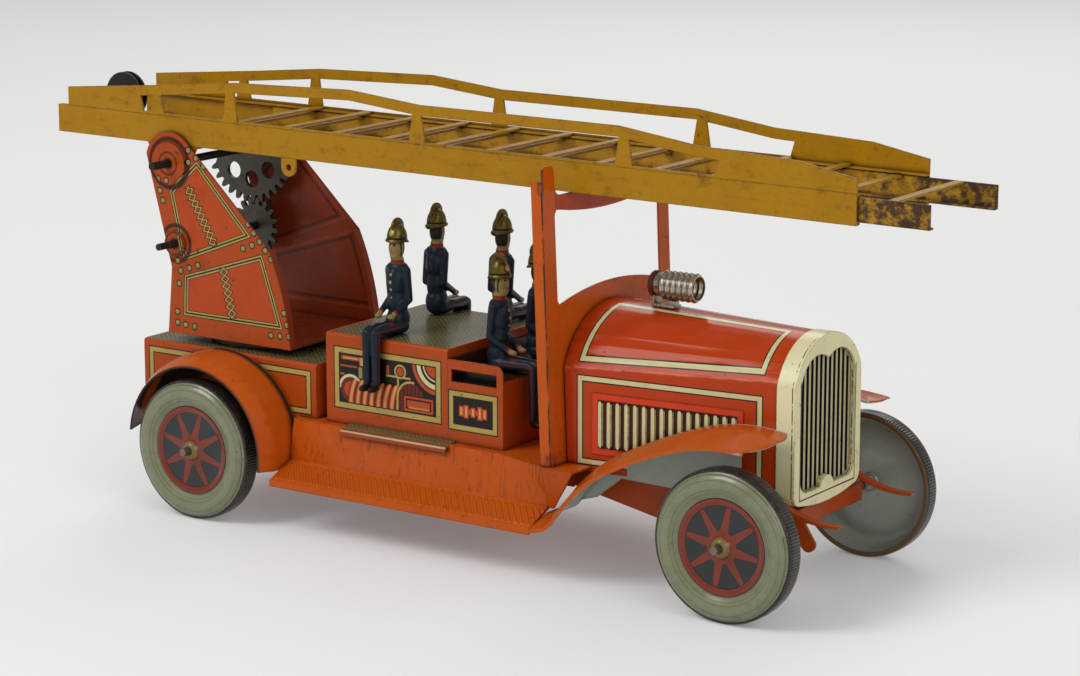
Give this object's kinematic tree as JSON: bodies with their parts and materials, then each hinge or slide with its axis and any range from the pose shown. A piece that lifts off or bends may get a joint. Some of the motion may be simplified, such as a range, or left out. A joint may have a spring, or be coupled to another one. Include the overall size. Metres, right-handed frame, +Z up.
{
  "type": "toy fire engine",
  "caption": "Tin clockwork toy fire engine with a swivelling, raising and extending ladder, free wheels, a steered front axle and seated crew.",
  "frame": {"origin": "on the floor, below the middle of the ladder's length", "axes": "+X forward, +Y to its left, +Z up"},
  "size_m": [0.3701, 0.1116, 0.1597],
  "materials": {
    "body_orange": "gloss lithographed tinplate, worn",
    "bonnet_red": "gloss lithographed tinplate, worn",
    "tower_red": "gloss lithographed tinplate with lining",
    "cream": "gloss cream enamel, chipped",
    "grille_dark": "black with cream ribs",
    "ladder_ochre": "ochre enamel, rubbed and stained",
    "dark_steel": "dull, oiled",
    "steel": "dull",
    "wheel_litho": "lithographed tinplate, scratched",
    "tread_black": "black enamel, rubbed brown at the edge",
    "navy": "hand painted",
    "step_pattern": "black and gold pattern"
  },
  "bodies": {
    "chassis": {"chassis_deck": "body_orange", "turntable_pin": "steel", "bonnet_louvres": "bonnet_red", "running_boards": "body_orange", "rear_mudguards": "body_orange", "front_wings": "body_orange", "rear_box": "tower_red", "seat_box": "tower_red", "driver_bench": "tower_red", "step_plates": "step_pattern", "bonnet": "bonnet_red", "radiator_shell": "cream", "radiator_grille": "grille_dark", "windscreen": "body_orange", "lamp_socket": "steel", "lamp_bracket": "steel", "front_frame": "body_orange", "rear_axle_bearers": "dark_steel", "clockwork": "steel", "swivel_pin": "steel", "fireman_rear_right": "navy", "fireman_rear_left": "navy", "fireman_mid_left": "navy", "fireman_front_right": "navy", "fireman_driver": "navy"},
    "rear_axle_set": {"rear_axle": "steel", "rear_wheels": "wheel_litho", "rear_treads": "tread_black"},
    "steering_carrier": {"axle_carrier": "body_orange", "front_axle": "steel"},
    "right_front_wheel": {"front_wheel_right": "wheel_litho", "front_tread_right": "tread_black"},
    "left_front_wheel": {"front_wheel_left": "wheel_litho", "front_tread_left": "tread_black"},
    "turntable": {"turntable_plate": "dark_steel", "tower": "tower_red"},
    "crank": {"crank_shaft": "dark_steel", "crank_pinion": "dark_steel"},
    "ladder": {"ladder_rails": "ladder_ochre", "ladder_pivot": "dark_steel", "ladder_cradle": "ladder_ochre", "ladder_rungs": "ladder_ochre", "ladder_railings": "ladder_ochre", "reel_bracket": "ladder_ochre", "ladder_eye": "ladder_ochre", "elevation_sector": "dark_steel"},
    "ladder_extension": {"inner_rails": "ladder_ochre", "inner_rungs": "ladder_ochre"},
    "cord_reel": {"cord_reel": "tread_black"}
  },
  "joints": [
    {"name": "rear_axle_spin", "type": "hinge", "parent": "chassis", "child": "rear_axle_set", "pos_m": [-0.0984, 0, 0.026], "axis": [0, 1, 0], "continuous": true},
    {"name": "steering", "type": "hinge", "parent": "chassis", "child": "steering_carrier", "pos_m": [0.1276, 0, 0.026], "axis": [0, 0, 1], "range_deg": [-18, 18]},
    {"name": "right_front_wheel_spin", "type": "hinge", "parent": "steering_carrier", "child": "right_front_wheel", "pos_m": [0.1276, -0.048, 0.026], "axis": [0, 1, 0], "continuous": true},
    {"name": "left_front_wheel_spin", "type": "hinge", "parent": "steering_carrier", "child": "left_front_wheel", "pos_m": [0.1276, 0.048, 0.026], "axis": [0, 1, 0], "continuous": true},
    {"name": "turntable_turn", "type": "hinge", "parent": "chassis", "child": "turntable", "pos_m": [-0.1, 0, 0.0594], "axis": [0, 0, 1], "continuous": true},
    {"name": "ladder_raise", "type": "hinge", "parent": "turntable", "child": "ladder", "pos_m": [-0.1267, 0, 0.1264], "axis": [0, -1, 0], "range_deg": [0, 60]},
    {"name": "crank_turn", "type": "hinge", "parent": "turntable", "child": "crank", "pos_m": [-0.1244, 0, 0.09649], "axis": [0, -1, 0], "continuous": true},
    {"name": "ladder_extend", "type": "slide", "parent": "ladder", "child": "ladder_extension", "axis": [1, 0, -0.0066], "range_m": [0, 0.2]},
    {"name": "cord_reel_turn", "type": "hinge", "parent": "ladder", "child": "cord_reel", "pos_m": [-0.17157, 0, 0.1455], "axis": [0, 1, 0], "continuous": true}
  ],
  "couplings": [
    {"joint": "crank_turn", "follows": "ladder_raise", "ratio": -2}
  ]
}
